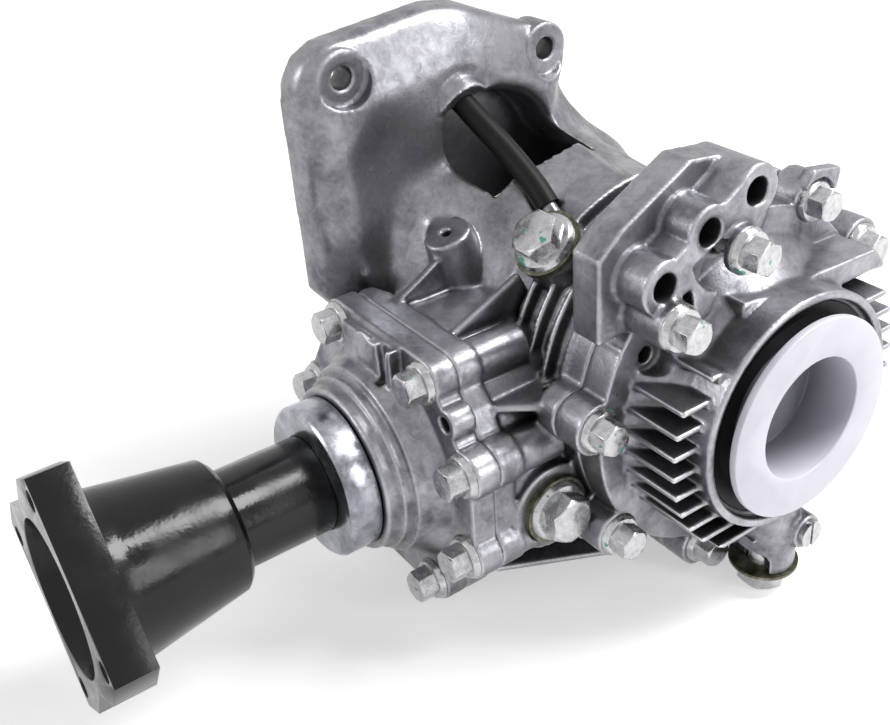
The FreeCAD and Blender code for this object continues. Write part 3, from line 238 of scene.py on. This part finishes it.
# black dip paint on a turned steel flange: deep satin black, slightly orange-peeled
paintLook = {
    "colour": "#0B0B0C", "edge": "#131315", "tones": (0.35, 0.7), "cloudMm": 16,
    "roughness": 0.17, "roughCloud": (0.3, 0.7), "smoother": 0.05, "rougher": 0.12, "specular": 0.3, "ior": 1.5,
    "peelMm": 2.2, "peelBump": (0.25, 0.00025),
}


def blackPaint(name, look):
    material, tree, shader, place = startMaterial(name, look["colour"], 0.0, look["roughness"])
    cloud = noise(tree, place, look["cloudMm"], 3.0)
    skin = ramp(tree, cloud, list(zip(look["tones"], (look["colour"], look["edge"]))))
    tree.links.new(skin, shader.inputs["Base Color"])
    roughEnds = (look["roughness"] - look["smoother"], look["roughness"] + look["rougher"])
    tree.links.new(mapped(tree, cloud, look["roughCloud"], roughEnds), shader.inputs["Roughness"])
    bumped(tree, shader, [(noise(tree, place, look["peelMm"], 1.0), *look["peelBump"])])
    shader.inputs["IOR"].default_value = look["ior"]
    shader.inputs["Specular IOR Level"].default_value = look["specular"]
    return material


# nitrile rubber, moulded: near black and matt, with a faint grain
rubberLook = {
    "colour": "#0C0C0C", "light": "#171718", "tones": (0.4, 0.75), "dustMm": 11,
    "roughness": 0.46, "specular": 0.18, "ior": 1.5, "grainMm": 0.8, "grainBump": (0.2, 0.00015),
}


def mouldedRubber(name, look):
    material, tree, shader, place = startMaterial(name, look["colour"], 0.0, look["roughness"])
    dust = noise(tree, place, look["dustMm"], 4.0)
    skin = ramp(tree, dust, list(zip(look["tones"], (look["colour"], look["light"]))))
    tree.links.new(skin, shader.inputs["Base Color"])
    bumped(tree, shader, [(noise(tree, place, look["grainMm"], 1.0), *look["grainBump"])])
    shader.inputs["IOR"].default_value = look["ior"]
    shader.inputs["Specular IOR Level"].default_value = look["specular"]
    return material


# polyethylene shipping plug, moulded: soft violet-white and waxy, with painted shade darkening it towards the
# floor of its cup
plugLook = {
    "colour": "#DAD8E2", "shade": "#D3D0DC", "tones": (0.3, 0.65), "flowMm": 22,
    "inside": "#66676F", "cup": (0.126, 0.151), "cupShare": 0.85,
    "roughness": 0.4, "ior": 1.51, "glowWeight": 0.12, "glowDeep": 0.004, "glowColour": (1.0, 0.9, 1.0),
    "peelMm": 1.6, "peelBump": (0.15, 0.0002),
}


def mouldedPolyethylene(name, look):
    material, tree, shader, place = startMaterial(name, look["colour"], 0.0, look["roughness"])
    flow = noise(tree, place, look["flowMm"], 2.0)
    skin = ramp(tree, flow, list(zip(look["tones"], (look["shade"], look["colour"]))))
    # painted shade: the inside of the cup turns grey towards its floor, by depth along X
    along = addNode(tree, "ShaderNodeSeparateXYZ", links={"Vector": place}).outputs["X"]
    cupShade = mapped(tree, along, look["cup"], (look["cupShare"], 0.0))
    tree.links.new(tinted(tree, cupShade, skin, look["inside"]), shader.inputs["Base Color"])
    bumped(tree, shader, [(noise(tree, place, look["peelMm"], 1.0), *look["peelBump"])])
    shader.inputs["IOR"].default_value = look["ior"]
    shader.inputs["Subsurface Weight"].default_value = look["glowWeight"]
    shader.inputs["Subsurface Scale"].default_value = look["glowDeep"]
    shader.inputs["Subsurface Radius"].default_value = look["glowColour"]
    return material


# the steels share one recipe and differ in tone, gloss and size of patch
boltLook = dict(zincLook, light="#CFCFD0", middle="#B9B9BB", dark="#97979A", roughness=0.2, patchMm=4,
                contrast=0.28)
sheetLook = dict(zincLook, light="#B4B7BC", middle="#999CA2", dark="#767980", roughness=0.2, patchMm=14)
washerLook = dict(zincLook, light="#8C8A79", middle="#6C6A58", dark="#4B4939", roughness=0.36)
groundLook = dict(zincLook, light="#B4B7BA", middle="#9DA1A4", dark="#84888B", roughness=0.16, patchMm=30)
gearLook = dict(zincLook, light="#505052", middle="#3E3E40", dark="#2C2C2E", roughness=0.36, metallic=0.9)
turnedLook = dict(zincLook, light="#9A9C9E", middle="#7E8083", dark="#5F6164", roughness=0.26)

casting = castAluminium("aluminiumDieCastBlasted", castLook)
coverCasting = castAluminium("aluminiumDieCastCover", dict(castLook, middle="#85858A", light="#A5A5AA"))
boltZinc = zincPlate("steelZincPlatedBolts", boltLook, dabLook)
sheetZinc = zincPlate("steelSheetBrightZinc", sheetLook)
washerOlive = zincPlate("steelWasherOlivePassivated", washerLook)
flangeBlack = blackPaint("steelDippedBlackPaint", paintLook)
rubberBlack = mouldedRubber("nitrileRubberMoulded", rubberLook)
plugWhite = mouldedPolyethylene("polyethyleneMoulded", plugLook)
groundSteel = zincPlate("bearingSteelGround", groundLook)
gearSteel = zincPlate("caseHardenedSteelPhosphated", gearLook)
turnedSteel = zincPlate("steelTurned", turnedLook)

finishOf = {
    "main_case": casting, "side_cover": coverCasting, "pinion_cover": coverCasting,
    "companion_flange": flangeBlack, "dust_cover": sheetZinc, "transport_plug": plugWhite,
    "ring_gear": gearSteel, "drive_pinion": gearSteel, "input_shaft": turnedSteel,
}
# the other nodes go by the first of these words in their names, and are turned steel without one
finishByWord = (
    ("_bolts", boltZinc), ("_plug", boltZinc), ("washer", washerOlive), ("seal", rubberBlack),
    ("hose", rubberBlack), ("o_ring", rubberBlack), ("bearing", groundSteel), ("", turnedSteel),
)
for name, item in nodes.items():
    byWord = next(finish for word, finish in finishByWord if word in name)
    item.data.materials.clear()
    item.data.materials.append(finishOf.get(name, byWord))
print("finishes assigned")

# castings: the CAD solid gets the soft corners and small fillets that a die leaves
castShapes = {
    "main_case": {"grainMm": 1.25, "soften": 5, "bellSoften": 110, "limit": 190000},
    "side_cover": {"grainMm": 1.1, "soften": 4, "bellSoften": 0, "limit": 190000},
    "pinion_cover": {"grainMm": 1.1, "soften": 4, "bellSoften": 0, "limit": 150000},
}
mergeReach = 0.00001

# the bell's broad walls: between chamber and joint face, clear of the holes (y, z) and the bore, in metres
bellLook = {
    "chamberX": -0.03, "chamberFade": 0.02, "faceX": -0.0865, "faceFade": 0.006, "boreRadius": 0.06,
    "holes": ((-0.125, 0.156), (0.013, 0.141), (-0.0555, 0.132)), "holeRadius": 0.017, "holeFade": 0.008,
}


def faded(past, fade):
    # 0 up to an edge, 1 once past it by the fade
    return min(1.0, max(0.0, past / fade))


def slope(value, ends):
    part = faded(value - ends[0], ends[1] - ends[0])
    return part * part * (3 - 2 * part)


def bellShare(point, look):
    # 1 on the broad bell walls, 0 near its machined holes, on its joint face and on the rest of the case
    if math.hypot(point.y, point.z) < look["boreRadius"]:
        return 0.0
    share = faded(look["chamberX"] - point.x, look["chamberFade"])
    share *= faded(point.x - look["faceX"], look["faceFade"])
    for y, z in look["holes"]:
        away = math.hypot(point.y - y, point.z - z)
        share *= faded(away - look["holeRadius"], look["holeFade"])
    return share


# the bell's right flank runs in behind the ear before it meets the chamber
flankLook = {"inward": 0.011, "low": (0.060, 0.088), "high": (0.100, 0.134), "side": (-0.006, 0.026)}

# soft lumps and hollows of the bell wall, in metres: place (y, z), width and rise, and where they set in
bellForms = (
    {"at": (-0.145, 0.068), "wide": 0.008, "rise": 0.006},
    {"at": (-0.116, 0.108), "wide": 0.017, "rise": -0.006},
    {"at": (-0.140, 0.112), "wide": 0.008, "rise": 0.004},
    {"at": (-0.096, 0.080), "wide": 0.016, "rise": -0.004},
    {"at": (-0.075, 0.146), "wide": 0.020, "rise": -0.003},
)
formRoom = {"lastX": 0.0, "lowestZ": 0.03, "front": (-0.084, -0.070)}


def drawFlankIn(mesh, look):
    for vertex in mesh.vertices:
        place = vertex.co
        share = slope(place.z, look["low"]) * (1 - slope(place.z, look["high"])) * slope(place.y, look["side"])
        place.y -= look["inward"] * share


def formBell(mesh, forms, room):
    for vertex in mesh.vertices:
        place = vertex.co
        if place.x > room["lastX"] or place.z < room["lowestZ"]:
            continue
        rise = 0.0
        for form in forms:
            away = math.hypot(place.y - form["at"][0], place.z - form["at"][1])
            rise += form["rise"] * math.exp(-0.5 * (away / form["wide"]) ** 2)
        place.x += rise * slope(place.x, room["front"])


def mergedShape(node):
    shape = bmesh.new()
    shape.from_mesh(nodes[node].data)
    bmesh.ops.remove_doubles(shape, verts=shape.verts, dist=mergeReach)
    return shape


def placed(shape, name):
    # the shape as an object at the origin
    mesh = bpy.data.meshes.new(name)
    shape.to_mesh(mesh)
    shape.free()
    piece = bpy.data.objects.new(name, mesh)
    scene.collection.objects.link(piece)
    return piece


def settle(item):
    # what the modifiers make, kept as a plain mesh at the origin
    shown = item.evaluated_get(bpy.context.evaluated_depsgraph_get())
    mesh = bpy.data.meshes.new_from_object(shown)
    mesh.name = item.name
    item.modifiers.clear()
    old = item.data
    item.data = mesh
    bpy.data.meshes.remove(old)


def softenBell(piece, iterations):
    group = piece.vertex_groups.new(name="bell")
    for vertex in piece.data.vertices:
        share = bellShare(vertex.co, bellLook)
        if share > 0:
            group.add([vertex.index], share, "REPLACE")
    broad = piece.modifiers.new("broad", "SMOOTH")
    broad.factor = 0.9
    broad.iterations = iterations
    broad.vertex_group = group.name


def castPiece(node, look, finish):
    piece = placed(mergedShape(node), node + "Casting")
    grain = piece.modifiers.new("skin", "REMESH")
    grain.mode = "VOXEL"
    grain.voxel_size = look["grainMm"] / 1000
    settle(piece)
    if look["bellSoften"]:
        drawFlankIn(piece.data, flankLook)
        formBell(piece.data, bellForms, formRoom)
        softenBell(piece, look["bellSoften"])
    soft = piece.modifiers.new("soft", "SMOOTH")
    soft.factor = 0.5
    soft.iterations = look["soften"]
    settle(piece)
    faces = sum(len(face.vertices) - 2 for face in piece.data.polygons)
    if faces > look["limit"]:
        thin = piece.modifiers.new("thin", "DECIMATE")
        thin.ratio = look["limit"] / faces
        settle(piece)
    piece.vertex_groups.clear()
    for face in piece.data.polygons:
        face.use_smooth = True
    piece.data.materials.clear()
    piece.data.materials.append(finish)
    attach(piece, "housing")
    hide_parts(node)
    print("cast", node, faces, "faces before thinning")


# turned and milled parts: a copy of the CAD solid with its sharp edges just broken
edgeBreaks = {
    "companion_flange": {"wideMm": 1.1, "steps": 2, "body": "output", "slot": "flange_paint"},
    "dust_cover": {"wideMm": 0.5, "steps": 2, "body": "output", "slot": "zinc_sheet"},
    "transport_plug": {"wideMm": 0.7, "steps": 3, "body": "plug", "slot": "plug_plastic"},
}
boltBreak = {"wideMm": 0.45, "steps": 2, "body": "housing", "slot": "zinc_bolts"}
for node in ("pinion_cover_bolts", "side_cover_bolts", "side_cover_long_bolts", "filler_plug", "level_plug",
             "drain_plug"):
    edgeBreaks[node] = boltBreak
sharpAngles = {"flat": math.radians(0.05), "bevelled": math.radians(28), "shadedSharp": math.radians(35)}
# the rim of the dust cover reaches a little further towards the neck
skirtLook = {"node": "dust_cover", "longer": 0.0034, "fromY": -0.196, "radius": 0.038, "axisZ": -0.0292}


def drawSkirt(shape, look):
    for vert in shape.verts:
        if vert.co.y > look["fromY"] and math.hypot(vert.co.x, vert.co.z - look["axisZ"]) > look["radius"]:
            vert.co.y += look["longer"]


def sharperThan(edge, angle):
    return len(edge.link_faces) == 2 and edge.calc_face_angle() > angle


def edgedPiece(node, look):
    shape = mergedShape(node)
    bmesh.ops.dissolve_limit(shape, angle_limit=sharpAngles["flat"], verts=shape.verts, edges=shape.edges)
    sharp = [edge for edge in shape.edges if sharperThan(edge, sharpAngles["bevelled"])]
    bmesh.ops.bevel(shape, geom=sharp, affect="EDGES", offset=look["wideMm"] / 1000, segments=look["steps"],
                    profile=0.5, material=-1, clamp_overlap=True)
    if node == skirtLook["node"]:
        drawSkirt(shape, skirtLook)
    for face in shape.faces:
        face.smooth = True
    for edge in shape.edges:
        edge.smooth = not sharperThan(edge, sharpAngles["shadedSharp"])
    piece = placed(shape, node + "Edged")
    piece.data.materials.append(nodes[node].data.materials[0])
    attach(piece, look["body"])
    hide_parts(node)


for node, look in edgeBreaks.items():
    edgedPiece(node, look)
print("edges broken")
for node, look in castShapes.items():
    castPiece(node, look, finishOf[node])
print("castings rounded")

# studio: white paper floor that glows more with distance, soft lamps from above and from the flange side
studioLook = {
    "floorGap": 0.0006, "floorHalf": 6.0, "floorColour": "#FAFAFA", "floorRough": 0.9,
    "glowReach": (0.6, 2.0), "glow": (0.42, 0.72), "worldLight": 0.3, "aim": (0, -0.1, 0),
}
lamps = {
    "keyLamp": {"place": (0.45, 0.6, 1.1), "size": (0.55, 0.55), "power": 17},
    "sideLamp": {"place": (1.3, 0.5, 0.5), "size": (0.35, 0.7), "power": 5},
    "flangeLamp": {"place": (-0.5, -1.4, 0.7), "size": (0.5, 0.4), "power": 5},
}
white = (1, 1, 1, 1)


def seenDirectly(tree):
    # 1 for camera, mirror and glass rays, 0 for light that falls on the object
    rays = addNode(tree, "ShaderNodeLightPath").outputs
    first = combined(tree, "MAXIMUM", rays["Is Camera Ray"], rays["Is Glossy Ray"])
    return combined(tree, "MAXIMUM", first, rays["Is Transmission Ray"])


def makeFloor(look):
    shape = bmesh.new()
    bmesh.ops.create_grid(shape, x_segments=1, y_segments=1, size=look["floorHalf"])
    bmesh.ops.translate(shape, verts=shape.verts, vec=(0, 0, cadBox[0][2] - look["floorGap"]))
    floor = placed(shape, "studioFloor")
    material, tree, shader, place = startMaterial("studioPaper", look["floorColour"], 0.0, look["floorRough"])
    shader.inputs["Specular IOR Level"].default_value = 0.0
    shader.inputs["Emission Color"].default_value = white
    reach = addNode(tree, "ShaderNodeVectorMath", {"operation": "LENGTH"}, links={0: place}).outputs["Value"]
    glow = combined(tree, "MULTIPLY", mapped(tree, reach, look["glowReach"], look["glow"]), seenDirectly(tree))
    tree.links.new(glow, shader.inputs["Emission Strength"])
    floor.data.materials.append(material)


def makeLamp(name, look, aim):
    light = bpy.data.lights.new(name, "AREA")
    light.shape = "RECTANGLE"
    light.size, light.size_y = look["size"]
    light.energy = look["power"]
    holder = bpy.data.objects.new(name, light)
    scene.collection.objects.link(holder)
    way = Vector(aim) - Vector(look["place"])
    turn = way.to_track_quat("-Z", "Y").to_matrix().to_4x4()
    holder.matrix_world = Matrix.Translation(look["place"]) @ turn


def makeWorld(look):
    world = bpy.data.worlds.new("studioWorld")
    world.use_nodes = True
    tree = world.node_tree
    backdrop = tree.nodes["Background"]
    backdrop.inputs["Color"].default_value = white
    level = mapped(tree, seenDirectly(tree), (0.0, 1.0), (look["worldLight"], 1.0))
    tree.links.new(level, backdrop.inputs["Strength"])
    scene.world = world


makeFloor(studioLook)
for name, look in lamps.items():
    makeLamp(name, look, studioLook["aim"])
makeWorld(studioLook)
scene.view_settings.view_transform = "Standard"
print("studio ready")
